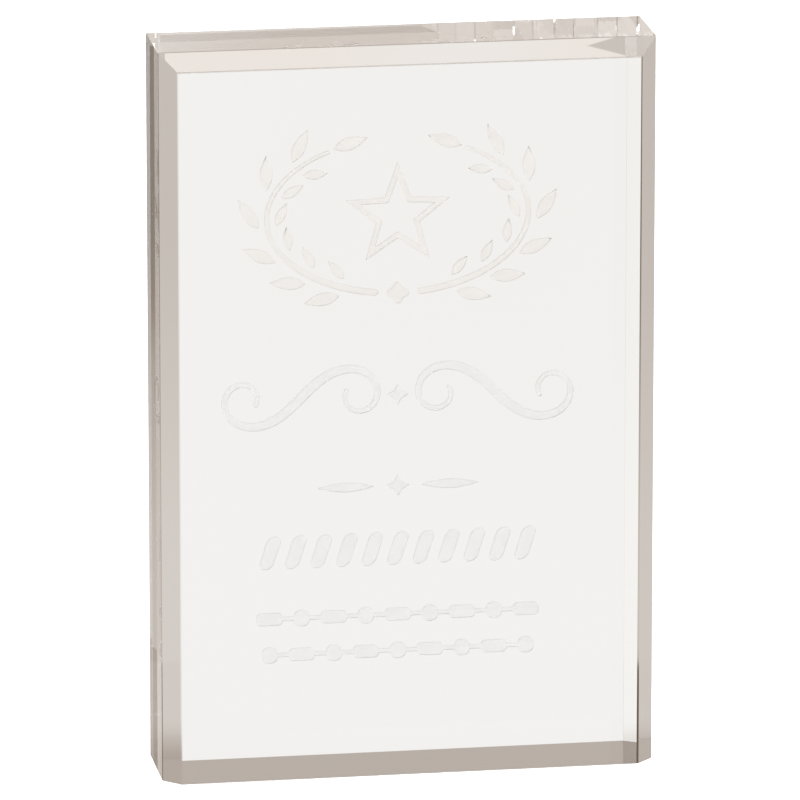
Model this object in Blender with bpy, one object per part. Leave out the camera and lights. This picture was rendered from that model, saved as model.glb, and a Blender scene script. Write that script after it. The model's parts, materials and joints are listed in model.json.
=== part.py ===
"""Crystal award: a bevelled slab of clear crystal that stands on its long flat base.

The slab is engraved from behind. Each engraved figure is a recess in the rear face with its own
separate body of pale enamel lying in it: a laurel wreath and star, a pair of scrolls, a short
ornament, a row of slanted bars and two beaded rules.

Frame: metres, +Z up, +X to the right of a person facing the award, -Y towards that person.
The origin is the middle of the base.
"""

import math

import bmesh
import bpy
from mathutils import Matrix, Vector

MM = 0.001

# Slab: 4 x 6 x 1 inches.
WIDTH = 101.6 * MM
DEPTH = 25.4 * MM
HEIGHT = 152.4 * MM
BEVEL = 3.5 * MM

# Engraving in the rear face. The enamel clears the recess all round by GAP.
RECESS_DEPTH = 1.0 * MM
ENAMEL_THICKNESS = 0.4 * MM
GAP = 0.3 * MM
CUTTER_OVERRUN = 1.0 * MM
REAR_Y = DEPTH / 2

# Heights of the engraved figures' centres above the base.
EMBLEM_Z = 113.8 * MM
TITLE_Z = 76.2 * MM
SUBTITLE_Z = 56.9 * MM
NAME_Z = 43.6 * MM
UPPER_RULE_Z = 29.5 * MM
LOWER_RULE_Z = 21.8 * MM

# Laurel wreath: two branches on an ellipse, open at the top, tied at the bottom.
WREATH_HALF_WIDTH = 27.0 * MM
WREATH_HALF_HEIGHT = 16.2 * MM
BRANCH_START = math.radians(-80.0)
BRANCH_END = math.radians(58.0)
BRANCH_STEPS = 12
BRANCH_FINE_STEPS = 400
STEM_WIDTH_ROOT = 1.3 * MM
STEM_WIDTH_END = 0.7 * MM
LEAF_PAIRS = 6
OUTER_LEAF = (7.2 * MM, 2.6 * MM)
INNER_LEAF = (5.0 * MM, 1.9 * MM)
LEAF_OFFSET = 1.85 * MM
OUTER_LEAF_SPREAD = math.radians(27.0)
INNER_LEAF_SPREAD = math.radians(33.0)
LEAF_STATIONS = (0.25, 0.5, 0.75)
LEAF_FULLNESS = 0.85
TIP_LEAF_GAP = 1.3 * MM
TIP_LEAF_TURN = math.radians(10.0)
TIE_RADIUS = 1.9 * MM
TIE_POINTS = 12
TIE_LOBES = 4
TIE_LOBE_SHARE = 0.18

# Star: a five-pointed band.
STAR_POINTS = 5
STAR_RADIUS = 11.2 * MM
STAR_WAIST = 0.42
STAR_BAND = 1.1 * MM

# Title: two S-scrolls, each curling at both ends, with a fleuron between them.
SCROLL_SPAN = 31.6 * MM
SCROLL_SWEEP = math.radians(345.0)
SCROLL_STEPS = 40
SCROLL_FINE_STEPS = 16
SCROLL_WIDTH_MIDDLE = 2.0 * MM
SCROLL_WIDTH_END = 0.9 * MM
SCROLL_CENTRE_X = 20.0 * MM
FLEURON_POINTS = 4
FLEURON_RADIUS = 2.2 * MM
FLEURON_WAIST = 0.5

# Subtitle: a small fleuron between two tapered dashes.
DASH_LENGTH = 11.6 * MM
DASH_WIDTH = 1.9 * MM
DASH_CENTRE_X = 10.8 * MM
DASH_STEPS = 6
SMALL_FLEURON_RADIUS = 2.3 * MM

# Name row: slanted bars with round ends.
NAME_BARS = 11
NAME_BAR_PITCH = 5.3 * MM
NAME_BAR_WIDTH = 2.9 * MM
NAME_BAR_HEIGHT = 7.0 * MM
NAME_BAR_SLANT = 0.32
NAME_BAR_CAP_STEPS = 4

# Message rows: a thin rule that swells into beads and reels.
RULE_LENGTH = 60.0 * MM
RULE_WIDTH = 0.8 * MM
RULE_SWELLS = 9
BEAD_HEIGHT = 3.4 * MM
# Each swell's reach and flat part as shares of the pitch, and its height as a share of BEAD_HEIGHT.
REEL = (0.40, 0.30, 0.78)
BEAD = (0.24, 0.10, 1.0)

SMOOTH_ANGLE = math.radians(30.0)
CRYSTAL_IOR = 1.517
CRYSTAL_ROUGHNESS = 0.02
ENAMEL_ROUGHNESS = 0.65
CRYSTAL_COLOUR = (0.955, 0.965, 0.960, 1.0)
EMBLEM_ENAMEL = (0.871, 0.847, 0.823, 1.0)
LETTER_ENAMEL = (0.871, 0.863, 0.863, 1.0)


def clear_scene():
    """Remove every object that the open file holds."""
    for item in list(bpy.data.objects):
        bpy.data.objects.remove(item, do_unlink=True)


def principled(name, colour, roughness, transmission=0.0, ior=1.5):
    """A Principled BSDF material with one colour."""
    material = bpy.data.materials.new(name)
    material.use_nodes = True
    shader = material.node_tree.nodes["Principled BSDF"]
    shader.inputs["Base Color"].default_value = colour
    shader.inputs["Roughness"].default_value = roughness
    shader.inputs["Metallic"].default_value = 0.0
    shader.inputs["Transmission Weight"].default_value = transmission
    shader.inputs["IOR"].default_value = ior
    return material


# Outlines are lists of (x, z) vectors, anticlockwise, around the figure's own centre.


def polar_outline(count, radius_at):
    """A closed outline whose distance from the centre follows radius_at(angle)."""
    angles = [2 * math.pi * i / count + math.pi / 2 for i in range(count)]
    return [Vector((math.cos(a), math.sin(a))) * radius_at(a) for a in angles]


def turned(outline, angle, offset=(0.0, 0.0)):
    """The outline turned about its origin, then moved by offset."""
    spin = Matrix.Rotation(angle, 2)
    return [spin @ point + Vector(offset) for point in outline]


def mirrored(outline):
    """The outline reflected left to right, still anticlockwise."""
    return [Vector((-point.x, point.y)) for point in reversed(outline)]


def grown(outline, margin):
    """The outline with every side moved outwards by margin, square at its corners."""
    count = len(outline)
    normals = []
    for i in range(count):
        side = (outline[(i + 1) % count] - outline[i]).normalized()
        normals.append(Vector((side.y, -side.x)))
    moved = []
    for i in range(count):
        before, after = normals[i - 1], normals[i]
        moved.append(outline[i] + (before + after) * (margin / (1 + before.dot(after))))
    return moved


def ribbon(path, widths):
    """The outline of a band that follows path and is widths[i] wide at path[i]."""
    right, left = [], []
    for i, point in enumerate(path):
        ahead = path[min(i + 1, len(path) - 1)] - path[max(i - 1, 0)]
        across = Vector((ahead.y, -ahead.x)).normalized() * widths[i] / 2
        right.append(point + across)
        left.append(point - across)
    return right + left[::-1]


def tie_radius(angle):
    """The tie's reach from its centre: four shallow lobes."""
    return TIE_RADIUS * (1 + TIE_LOBE_SHARE * math.cos(TIE_LOBES * angle))


def leaf_outline(length, width):
    """A laurel leaf from its base at the origin to its tip along +X."""
    half = [width / 2 * math.sin(math.pi * t**LEAF_FULLNESS) for t in LEAF_STATIONS]
    lower = [Vector((length * t, -h)) for t, h in zip(LEAF_STATIONS, half)]
    upper = [Vector((length * t, h)) for t, h in zip(LEAF_STATIONS, half)]
    return [Vector((0.0, 0.0)), *lower, Vector((length, 0.0)), *upper[::-1]]


def star_outline(points, radius, waist):
    """A star with one point straight up; its inner corners are at waist times the radius."""
    reaches = (radius, radius * waist)
    angles = [math.pi / 2 + math.pi * i / points for i in range(2 * points)]
    return [Vector((math.cos(a), math.sin(a))) * reaches[i % 2] for i, a in enumerate(angles)]


def dash_outline():
    """A long lozenge with rounded flanks."""
    xs = [DASH_LENGTH * (i / DASH_STEPS - 0.5) for i in range(DASH_STEPS + 1)]
    half = [DASH_WIDTH / 2 * math.cos(math.pi * x / DASH_LENGTH) for x in xs]
    lower = [Vector((x, -h)) for x, h in zip(xs, half)]
    upper = [Vector((x, h)) for x, h in zip(xs[1:-1], half[1:-1])]
    return lower + upper[::-1]


def name_bar_outline():
    """An upright bar with round ends, sheared so that it leans to the right."""
    radius = NAME_BAR_WIDTH / 2
    straight = NAME_BAR_HEIGHT / 2 - radius
    points = []
    for end in (0, 1):
        centre = straight * (1 - 2 * end)
        for step in range(NAME_BAR_CAP_STEPS + 1):
            a = math.pi * (end + step / NAME_BAR_CAP_STEPS)
            x, z = radius * math.cos(a), centre + radius * math.sin(a)
            points.append(Vector((x + NAME_BAR_SLANT * z, z)))
    return points


def rule_outline(shift):
    """A rule that swells into alternate beads and reels; shift moves the pattern by one swell."""
    pitch = RULE_LENGTH / RULE_SWELLS
    profile = []
    for swell in range(RULE_SWELLS):
        middle = (swell + 0.5) * pitch - RULE_LENGTH / 2
        reach_share, flat_share, height_share = BEAD if (swell + shift) % 2 else REEL
        reach, flat, height = pitch * reach_share, pitch * flat_share, BEAD_HEIGHT * height_share
        profile += [(middle - reach, RULE_WIDTH), (middle - flat, height)]
        profile += [(middle + flat, height), (middle + reach, RULE_WIDTH)]
    lower = [Vector((x, -h / 2)) for x, h in profile]
    upper = [Vector((x, h / 2)) for x, h in profile]
    return lower + upper[::-1]


def branch_point(angle):
    """A point of the right-hand branch, measured from the middle of the wreath."""
    return Vector((WREATH_HALF_WIDTH * math.cos(angle), WREATH_HALF_HEIGHT * math.sin(angle)))


def branch_path(count):
    """Evenly spaced points along the right-hand branch, from its root to its end."""
    span = BRANCH_END - BRANCH_START
    last = BRANCH_FINE_STEPS
    dense = [branch_point(BRANCH_START + span * i / last) for i in range(last + 1)]
    walked = [0.0]
    for before, after in zip(dense, dense[1:]):
        walked.append(walked[-1] + (after - before).length)
    points, index = [], 0
    for step in range(count):
        target = walked[-1] * step / (count - 1)
        while walked[index] < target and index < last:
            index += 1
        points.append(dense[index])
    return points


def stem_outline():
    """The right-hand branch's stem, tapering towards its end."""
    path = branch_path(BRANCH_STEPS)
    last = len(path) - 1
    taper = STEM_WIDTH_ROOT - STEM_WIDTH_END
    return ribbon(path, [STEM_WIDTH_ROOT - taper * i / last for i in range(last + 1)])


def leaf_outlines():
    """The right-hand branch's leaves, as (name, outline): pairs along the stem and one at its tip."""
    stations = branch_path(LEAF_PAIRS + 2)
    leaves = []
    for pair in range(LEAF_PAIRS):
        behind, here, ahead = stations[pair : pair + 3]
        heading = math.atan2((ahead - behind).y, (ahead - behind).x)
        across = Vector((-math.sin(heading), math.cos(heading))) * LEAF_OFFSET
        outer = turned(leaf_outline(*OUTER_LEAF), heading - OUTER_LEAF_SPREAD, here - across)
        inner = turned(leaf_outline(*INNER_LEAF), heading + INNER_LEAF_SPREAD, here + across)
        leaves += [(f"outer_{pair + 1}", outer), (f"inner_{pair + 1}", inner)]
    run = (stations[-1] - stations[-2]).normalized()
    heading = math.atan2(run.y, run.x) + TIP_LEAF_TURN
    tip = turned(leaf_outline(*OUTER_LEAF), heading, stations[-1] + run * TIP_LEAF_GAP)
    return [*leaves, ("tip", tip)]


def scroll_outline():
    """An S-scroll lying on its side: its curvature grows evenly from its middle to both ends."""
    fine = SCROLL_FINE_STEPS
    point = Vector((0.0, 0.0))
    half = [point.copy()]
    for step in range(SCROLL_STEPS // 2 * fine):
        s = (step + 0.5) / (SCROLL_STEPS // 2 * fine)
        heading = SCROLL_SWEEP * s * s
        point = point + Vector((math.cos(heading), math.sin(heading)))
        if (step + 1) % fine == 0:
            half.append(point.copy())
    path = [-p for p in half[:0:-1]] + half
    path = turned(path, -math.pi / 4)
    span = max(p.x for p in path) - min(p.x for p in path)
    path = [p * (SCROLL_SPAN / span) for p in path]
    swell = SCROLL_WIDTH_MIDDLE - SCROLL_WIDTH_END
    last = len(path) - 1
    widths = [SCROLL_WIDTH_END + swell * math.sin(math.pi * i / last) ** 2 for i in range(last + 1)]
    return ribbon(path, widths)


# Solids. A figure's outline lies in the XZ plane and is given its thickness along Y.


def wall(rim_front, rim_rear):
    """The quads between two rims of the same length, as lists of vertices."""
    count = len(rim_front)
    return [
        (rim_front[i], rim_front[(i + 1) % count], rim_rear[(i + 1) % count], rim_rear[i])
        for i in range(count)
    ]


def plate_mesh(name, outline, front, rear, hole=None):
    """A flat plate between two depths, with the outline as its edge and an optional hole."""
    mesh = bpy.data.meshes.new(name)
    bm = bmesh.new()
    rims = [[bm.verts.new((p.x, y, p.y)) for p in outline] for y in (front, rear)]
    faces = wall(*rims)
    if hole is None:
        faces += [rims[0], rims[1][::-1]]
    else:
        bores = [[bm.verts.new((p.x, y, p.y)) for p in hole] for y in (front, rear)]
        faces += wall(*bores) + wall(rims[0], bores[0]) + wall(rims[1], bores[1])
    for face in faces:
        bm.faces.new(face)
    bmesh.ops.recalc_face_normals(bm, faces=bm.faces)
    bm.to_mesh(mesh)
    bm.free()
    return mesh


def slab_mesh():
    """The slab, bevelled along the sides and top of both faces and square at its base."""
    mesh = bpy.data.meshes.new("crystal_block")
    bm = bmesh.new()
    face, shoulder = DEPTH / 2, DEPTH / 2 - BEVEL
    rings = []
    for y, inset in ((-face, BEVEL), (-shoulder, 0), (shoulder, 0), (face, BEVEL)):
        x, z = WIDTH / 2 - inset, HEIGHT - inset
        corners = ((-x, 0), (x, 0), (x, z), (-x, z))
        rings.append([bm.verts.new((cx, y, cz)) for cx, cz in corners])
    faces = [rings[0], rings[-1][::-1]]
    for near, far in zip(rings, rings[1:]):
        faces += wall(near, far)
    for face in faces:
        bm.faces.new(face)
    bmesh.ops.recalc_face_normals(bm, faces=bm.faces)
    bm.to_mesh(mesh)
    bm.free()
    return mesh


class Award:
    """The award's empty, its collections and its sub-parts."""

    def __init__(self):
        scene = bpy.context.scene.collection
        self.parts = bpy.data.collections.new("award_parts")
        self.cutters = bpy.data.collections.new("recess_cutters")
        scene.children.link(self.parts)
        scene.children.link(self.cutters)
        self.frame = bpy.data.objects.new("award_frame", None)
        self.parts.objects.link(self.frame)

    def place(self, name, mesh, collection, at):
        """Link an object for the mesh, parented to the award's frame."""
        item = bpy.data.objects.new(name, mesh)
        collection.objects.link(item)
        item.parent = self.frame
        item.location = at
        return item

    def engrave(self, name, outline, height, colour, hole=None):
        """Fill a figure with enamel and keep a cutter for its recess in the rear face."""
        at = (0.0, REAR_Y, height)
        rear = GAP + ENAMEL_THICKNESS - RECESS_DEPTH
        mesh = plate_mesh(name, outline, rear - ENAMEL_THICKNESS, rear, hole)
        mesh.shade_smooth()
        mesh.set_sharp_from_angle(angle=SMOOTH_ANGLE)
        mesh.materials.append(principled(f"{name}_enamel", colour, ENAMEL_ROUGHNESS))
        self.place(name, mesh, self.parts, at)

        wide = grown(outline, GAP)
        island = grown(hole, -GAP) if hole else None
        cutter_mesh = plate_mesh(f"{name}_recess", wide, -RECESS_DEPTH, CUTTER_OVERRUN, island)
        cutter = self.place(f"{name}_recess", cutter_mesh, self.cutters, at)
        cutter.hide_render = True
        cutter.display_type = "WIRE"

    def add_emblem(self):
        """The star, and the wreath's tie, stems and leaves."""
        star = star_outline(STAR_POINTS, STAR_RADIUS, STAR_WAIST)
        self.engrave("star", star, EMBLEM_Z, EMBLEM_ENAMEL, hole=grown(star, -STAR_BAND))
        tie = polar_outline(TIE_POINTS, tie_radius)
        tie = turned(tie, 0.0, (0.0, -WREATH_HALF_HEIGHT))
        self.engrave("wreath_tie", tie, EMBLEM_Z, EMBLEM_ENAMEL)
        for hand, face in (("right", list), ("left", mirrored)):
            self.engrave(f"wreath_stem_{hand}", face(stem_outline()), EMBLEM_Z, EMBLEM_ENAMEL)
            for name, outline in leaf_outlines():
                self.engrave(f"leaf_{hand}_{name}", face(outline), EMBLEM_Z, EMBLEM_ENAMEL)

    def add_title(self):
        """Two scrolls with a fleuron between them."""
        scroll = turned(scroll_outline(), 0.0, (SCROLL_CENTRE_X, 0.0))
        self.engrave("title_scroll_right", scroll, TITLE_Z, LETTER_ENAMEL)
        self.engrave("title_scroll_left", mirrored(scroll), TITLE_Z, LETTER_ENAMEL)
        fleuron = star_outline(FLEURON_POINTS, FLEURON_RADIUS, FLEURON_WAIST)
        self.engrave("title_fleuron", fleuron, TITLE_Z, LETTER_ENAMEL)

    def add_subtitle(self):
        """A small fleuron between two dashes."""
        small = star_outline(FLEURON_POINTS, SMALL_FLEURON_RADIUS, FLEURON_WAIST)
        self.engrave("subtitle_fleuron", small, SUBTITLE_Z, LETTER_ENAMEL)
        for hand, side in (("right", 1), ("left", -1)):
            dash = turned(dash_outline(), 0.0, (side * DASH_CENTRE_X, 0.0))
            self.engrave(f"subtitle_dash_{hand}", dash, SUBTITLE_Z, LETTER_ENAMEL)

    def add_name_row(self):
        """A row of slanted bars."""
        for i in range(NAME_BARS):
            x = (i - (NAME_BARS - 1) / 2) * NAME_BAR_PITCH
            bar = turned(name_bar_outline(), 0.0, (x, 0.0))
            self.engrave(f"name_bar_{i + 1:02d}", bar, NAME_Z, LETTER_ENAMEL)

    def add_message_rows(self):
        """Two beaded rules, the second with its beads where the first has reels."""
        self.engrave("message_rule_upper", rule_outline(0), UPPER_RULE_Z, LETTER_ENAMEL)
        self.engrave("message_rule_lower", rule_outline(1), LOWER_RULE_Z, LETTER_ENAMEL)

    def add_block(self):
        """The crystal slab, with every figure's recess cut into its rear face."""
        block = self.place("crystal_block", slab_mesh(), self.parts, (0.0, 0.0, 0.0))
        crystal = principled("clear_crystal", CRYSTAL_COLOUR, CRYSTAL_ROUGHNESS, transmission=1.0, ior=CRYSTAL_IOR)
        block.data.materials.append(crystal)
        recesses = block.modifiers.new("engraved_recesses", "BOOLEAN")
        recesses.operation = "DIFFERENCE"
        recesses.solver = "EXACT"
        recesses.operand_type = "COLLECTION"
        recesses.collection = self.cutters


def main():
    """Build the award."""
    clear_scene()
    award = Award()
    award.add_emblem()
    award.add_title()
    award.add_subtitle()
    award.add_name_row()
    award.add_message_rows()
    award.add_block()


main()
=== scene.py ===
"""Looks of the crystal award: a bevelled crystal slab, engraved from behind and filled with pale enamel.

Metres, +Z up, +X to the right of a person facing the award, -Y towards that person. Sizes and
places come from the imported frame; the ornament's proportions are fields of the class that draws it.
"""

import json
import logging
import math
from dataclasses import dataclass, field
from enum import Enum, IntEnum

import bmesh
import bpy
from mathutils import Euler, Matrix, Vector

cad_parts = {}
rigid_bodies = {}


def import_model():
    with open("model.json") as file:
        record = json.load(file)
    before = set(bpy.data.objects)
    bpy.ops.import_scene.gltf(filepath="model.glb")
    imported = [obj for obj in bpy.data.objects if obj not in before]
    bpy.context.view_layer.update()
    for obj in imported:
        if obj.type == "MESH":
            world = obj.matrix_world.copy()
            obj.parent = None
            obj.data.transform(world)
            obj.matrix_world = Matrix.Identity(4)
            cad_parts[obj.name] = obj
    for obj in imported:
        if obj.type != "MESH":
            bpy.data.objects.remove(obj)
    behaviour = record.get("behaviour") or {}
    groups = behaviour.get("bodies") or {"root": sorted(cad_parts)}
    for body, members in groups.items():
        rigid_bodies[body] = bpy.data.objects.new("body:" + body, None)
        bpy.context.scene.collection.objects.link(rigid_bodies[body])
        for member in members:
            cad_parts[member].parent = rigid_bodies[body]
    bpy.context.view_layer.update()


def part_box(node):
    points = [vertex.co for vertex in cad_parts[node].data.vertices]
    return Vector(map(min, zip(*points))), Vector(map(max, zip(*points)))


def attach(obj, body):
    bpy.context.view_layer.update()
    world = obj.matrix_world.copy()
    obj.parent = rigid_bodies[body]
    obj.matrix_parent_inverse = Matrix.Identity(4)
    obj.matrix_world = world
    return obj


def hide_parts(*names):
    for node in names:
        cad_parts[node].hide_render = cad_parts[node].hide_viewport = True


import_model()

MM = 0.001
# Two depths closer than this are the same depth.
TOUCH = 1e-6
FULL_TURN = (-180.0, 180.0)
ROOT = "root"
CRYSTAL_IOR = 1.485
# The enamel is translucent. Its index is relative to the crystal that lies against it.
ENAMEL_IOR = 1.05
ENAMEL_CLARITY = 0.95
log = logging.getLogger("crystal_award")

Outline = list[Vector]
Colour = tuple[float, float, float]
Socket = bpy.types.NodeSocket
Span = tuple[float, float]
Stops = tuple[Span, ...]


class Tint(Enum):
    """The two enamels of the engraving, by the record's material slot."""

    EMBLEM = "emblem_enamel"
    LETTER = "letter_enamel"


class Hand(Enum):
    """A side of the award, as the reader sees it."""

    RIGHT = "right"
    LEFT = "left"


class Surface(IntEnum):
    """The slab's surfaces, in the order of its materials."""

    POLISHED = 0
    GROUND = 1
    CARVED = 2


# ---------------------------------------------------------------------------------------------
# Node graphs
# ---------------------------------------------------------------------------------------------


@dataclass
class Graph:
    """A thin wrapper that adds and links the nodes of a tree.

    Attributes:
        tree: the material, world or geometry tree that is being filled.
    """

    tree: bpy.types.NodeTree

    def add(self, kind: str, settings: dict | None = None, **values: object) -> bpy.types.Node:
        """Add a node, set its properties, and set or link its inputs.

        Args:
            kind: the node's type name.
            settings: properties of the node itself.
            **values: inputs by name, with underscores for spaces, or i0, i1... by position. A
                socket is linked and anything else becomes the input's value.

        Returns:
            The new node.
        """
        node = self.tree.nodes.new(kind)
        for key, value in (settings or {}).items():
            setattr(node, key, value)
        for key, value in values.items():
            by_index = key[0] == "i" and key[1:].isdigit()
            socket = node.inputs[int(key[1:])] if by_index else node.inputs[key.replace("_", " ")]
            if isinstance(value, Socket):
                self.tree.links.new(value, socket)
            else:
                socket.default_value = value
        return node

    def math(self, operation: str, *values: object, clamp: bool = False) -> Socket:
        """Add a Math node.

        Args:
            operation: the Math node's operation.
            *values: its operands, as numbers or sockets.
            clamp: whether the result is kept between 0 and 1.

        Returns:
            The result's socket.
        """
        operands = {f"i{i}": value for i, value in enumerate(values)}
        settings = {"operation": operation, "use_clamp": clamp}
        return self.add("ShaderNodeMath", settings, **operands).outputs[0]

    def distance(self, value: Socket, centre: float) -> Socket:
        """Add the distance of a value from a centre."""
        return self.math("ABSOLUTE", self.math("SUBTRACT", value, centre))

    def smooth_step(self, value: Socket, low: float, high: float) -> Socket:
        """Add a smooth ramp from 0 at low to 1 at high.

        Args:
            value: the socket to read.
            low: the value that gives 0.
            high: the value that gives 1.

        Returns:
            The ramp's socket.
        """
        settings = {"interpolation_type": "SMOOTHSTEP"}
        limits = {"From_Min": low, "From_Max": high}
        return self.add("ShaderNodeMapRange", settings, Value=value, **limits).outputs[0]

    def blend(self, share: Socket, low: object, high: object) -> Socket:
        """Add a mix of two values.

        Args:
            share: how much of the second value there is.
            low: the first value, a number or a socket.
            high: the second value, a number or a socket.

        Returns:
            The mixed value's socket.
        """
        return self.add("ShaderNodeMix", {"data_type": "FLOAT"}, i0=share, i2=low, i3=high).outputs[0]

    def link(self, source: Socket, target: Socket) -> None:
        """Link one socket to another."""
        self.tree.links.new(source, target)


def group_tree(
    name: str, kind: str, inputs: list[tuple[str, str, object]], outputs: list[tuple[str, str]]
) -> tuple[Graph, bpy.types.Node, bpy.types.Node]:
    """Start a node group with named sockets.

    Args:
        name: the group's name.
        kind: ShaderNodeTree or GeometryNodeTree.
        inputs: each input's name, socket type and default value, None where it has no value.
        outputs: each output's name and socket type.

    Returns:
        The group's graph, its input node and its output node.
    """
    tree = bpy.data.node_groups.new(name, kind)
    for label, socket_type, default in inputs:
        socket = tree.interface.new_socket(label, in_out="INPUT", socket_type=socket_type)
        if default is not None:
            socket.default_value = default
    for label, socket_type in outputs:
        tree.interface.new_socket(label, in_out="OUTPUT", socket_type=socket_type)
    graph = Graph(tree)
    return graph, graph.add("NodeGroupInput"), graph.add("NodeGroupOutput")


# ---------------------------------------------------------------------------------------------
# Shader groups and finishes
# ---------------------------------------------------------------------------------------------


SMEAR_NOISE = {"Scale": 26.0, "Detail": 5.0, "Distortion": 0.8}
# The noise values between which a smear, a speck or a mottle rises from nothing to full.
SMEAR_RISE: Span = (0.45, 0.75)
SPECK_RISE: Span = (0.70, 0.78)
MOTTLE_RISE: Span = (0.35, 0.65)


def handling_haze_group() -> bpy.types.NodeTree:
    """A polished surface's haze: faint cloudy smears and fine specks, with a slow waviness.

    Returns:
        A group with inputs Low, High, Speck Scale and Wave Scale, and outputs Haze (a roughness)
        and Wave (a height).
    """
    inputs = [
        ("Low", "NodeSocketFloat", 0.0),
        ("High", "NodeSocketFloat", 0.02),
        ("Speck Scale", "NodeSocketFloat", 900.0),
        ("Wave Scale", "NodeSocketFloat", 18.0),
    ]
    outputs = [("Haze", "NodeSocketFloat"), ("Wave", "NodeSocketFloat")]
    graph, given, result = group_tree("handling_haze", "ShaderNodeTree", inputs, outputs)
    place = graph.add("ShaderNodeTexCoord").outputs["Object"]
    smear = graph.add("ShaderNodeTexNoise", Vector=place, **SMEAR_NOISE)
    speck = graph.add("ShaderNodeTexNoise", Vector=place, Scale=given.outputs["Speck Scale"], Detail=1.0)
    cloud = graph.smooth_step(smear.outputs[0], *SMEAR_RISE)
    dots = graph.smooth_step(speck.outputs[0], *SPECK_RISE)
    mask = graph.math("MAXIMUM", cloud, dots)
    span = graph.math("SUBTRACT", given.outputs["High"], given.outputs["Low"])
    haze = graph.math("MULTIPLY_ADD", mask, span, given.outputs["Low"])
    wave = graph.add("ShaderNodeTexNoise", Vector=place, Scale=given.outputs["Wave Scale"], Detail=1.0)
    graph.link(haze, result.inputs["Haze"])
    graph.link(wave.outputs[0], result.inputs["Wave"])
    return graph.tree


def sanded_grain_group() -> bpy.types.NodeTree:
    """A sand-carved or enamelled surface: fine grain, with larger mottling.

    Returns:
        A group with inputs Dark, Light, Mottle Scale and Grain Scale, and outputs Colour, Mottle
        (a mask) and Grain (a height).
    """
    inputs = [
        ("Dark", "NodeSocketColor", (0.8, 0.8, 0.8, 1.0)),
        ("Light", "NodeSocketColor", (0.9, 0.9, 0.9, 1.0)),
        ("Mottle Scale", "NodeSocketFloat", 300.0),
        ("Grain Scale", "NodeSocketFloat", 5000.0),
    ]
    outputs = [("Colour", "NodeSocketColor"), ("Mottle", "NodeSocketFloat"), ("Grain", "NodeSocketFloat")]
    graph, given, result = group_tree("sanded_grain", "ShaderNodeTree", inputs, outputs)
    place = graph.add("ShaderNodeTexCoord").outputs["Object"]
    cloud = graph.add("ShaderNodeTexNoise", Vector=place, Scale=given.outputs["Mottle Scale"], Detail=4.0)
    mottle = graph.smooth_step(cloud.outputs[0], *MOTTLE_RISE)
    colour = graph.add(
        "ShaderNodeMix",
        {"data_type": "RGBA"},
        i0=mottle,
        i6=given.outputs["Dark"],
        i7=given.outputs["Light"],
    )
    grain = graph.add("ShaderNodeTexNoise", Vector=place, Scale=given.outputs["Grain Scale"], Detail=2.0)
    graph.link(colour.outputs[2], result.inputs["Colour"])
    graph.link(mottle, result.inputs["Mottle"])
    graph.link(grain.outputs[0], result.inputs["Grain"])
    return graph.tree


def empty_material(name: str) -> tuple[bpy.types.Material, Graph, bpy.types.Node]:
    """Start a material.

    Args:
        name: the material's name.

    Returns:
        The material, its graph and its Principled BSDF.
    """
    material = bpy.data.materials.new(name)
    material.use_nodes = True
    return material, Graph(material.node_tree), material.node_tree.nodes["Principled BSDF"]


@dataclass(frozen=True)
class CrystalFinish:
    """Clear optical crystal in one state of polish.

    Attributes:
        name: the material's name.
        colour: the glass's tint at each surface.
        low: roughness where the surface is cleanest.
        high: roughness in its smears and specks.
        wave: height of the surface's waviness, in metres.
        wave_scale: how fine the waviness is.
    """

    name: str
    colour: Colour = (0.995, 0.998, 0.996)
    low: float = 0.0
    high: float = 0.008
    wave: float = 1e-5
    wave_scale: float = 22.0

    def material(self) -> bpy.types.Material:
        """Build the glass material.

        Returns:
            The material.
        """
        material, graph, shader = empty_material(self.name)
        shader.inputs["Base Color"].default_value = (*self.colour, 1.0)
        shader.inputs["Transmission Weight"].default_value = 1.0
        shader.inputs["IOR"].default_value = CRYSTAL_IOR
        haze = graph.add("ShaderNodeGroup", {"node_tree": SHARED["handling_haze"]})
        haze.inputs["Low"].default_value = self.low
        haze.inputs["High"].default_value = self.high
        haze.inputs["Wave Scale"].default_value = self.wave_scale
        bump = graph.add("ShaderNodeBump", Strength=1.0, Distance=self.wave, Height=haze.outputs["Wave"])
        graph.link(haze.outputs["Haze"], shader.inputs["Roughness"])
        graph.link(bump.outputs[0], shader.inputs["Normal"])
        return material


@dataclass(frozen=True)
class CarvedFinish:
    """Crystal that has been sand-carved to a matt frost and tinted dark: painted shade on the recess walls.

    Attributes:
        name: the material's name.
        dark: the darker tint of the walls' painted shade, between the mottles.
        light: its lighter tint, in the mottles.
        roughness: the smallest roughness.
        mottling: how much rougher the mottles are.
        grain: height of the grain, in metres.
    """

    name: str = "carved_crystal"
    # The dark tint is painted shade: it keeps the frosted walls from scattering bright light.
    dark: Colour = (0.12, 0.11, 0.10)
    light: Colour = (0.18, 0.17, 0.16)
    roughness: float = 0.50
    mottling: float = 0.12
    grain: float = 12e-6

    def material(self) -> bpy.types.Material:
        """Build the frosted glass material.

        Returns:
            The material.
        """
        material, graph, shader = empty_material(self.name)
        shader.inputs["Transmission Weight"].default_value = 1.0
        shader.inputs["IOR"].default_value = CRYSTAL_IOR
        grain = graph.add("ShaderNodeGroup", {"node_tree": SHARED["sanded_grain"]})
        grain.inputs["Dark"].default_value = (*self.dark, 1.0)
        grain.inputs["Light"].default_value = (*self.light, 1.0)
        frost = graph.math("MULTIPLY_ADD", grain.outputs["Mottle"], self.mottling, self.roughness)
        bump = graph.add("ShaderNodeBump", Strength=1.0, Distance=self.grain, Height=grain.outputs["Grain"])
        graph.link(grain.outputs["Colour"], shader.inputs["Base Color"])
        graph.link(frost, shader.inputs["Roughness"])
        graph.link(bump.outputs[0], shader.inputs["Normal"])
        return material


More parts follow.
